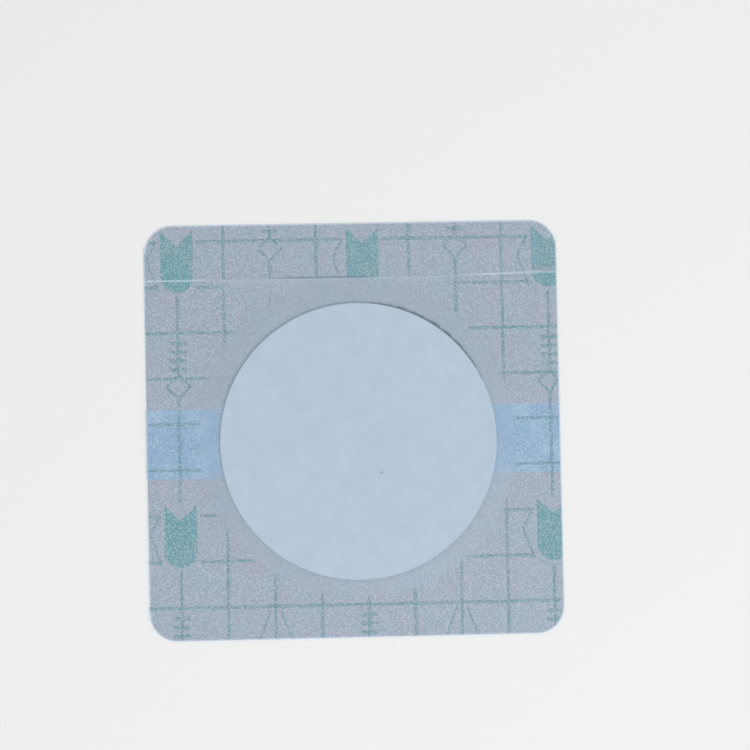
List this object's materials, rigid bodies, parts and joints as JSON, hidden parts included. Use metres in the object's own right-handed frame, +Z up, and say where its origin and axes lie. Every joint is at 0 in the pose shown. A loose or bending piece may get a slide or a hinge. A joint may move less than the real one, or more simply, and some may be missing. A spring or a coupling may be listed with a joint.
{
  "type": "medicated plaster",
  "caption": "Square medicated plaster lying flat: printed backing film, paste cake under a white disc, and a frosted release liner slit in two and tented over the disc.",
  "frame": {"origin": "middle of the square outline, on the surface that the plaster lies on", "axes": "+Z up out of the liner's face, +X away from the slit side, +Y towards the narrow liner strip"},
  "size_m": [0.09, 0.09, 0.0015],
  "materials": {
    "backing": "thin film, satin",
    "blue_ink": "printed ink, matt",
    "green_ink": "printed ink, matt",
    "paste": "granular paste",
    "cover": "smooth nonwoven, matt",
    "liner": "frosted glassine, satin"
  },
  "bodies": {
    "root": {"backing_film": "backing", "blue_band": "blue_ink", "grid_print": "green_ink", "medicated_paste": "paste", "pad_cover": "cover", "release_liner": "liner", "liner_strip": "liner"}
  },
  "joints": []
}
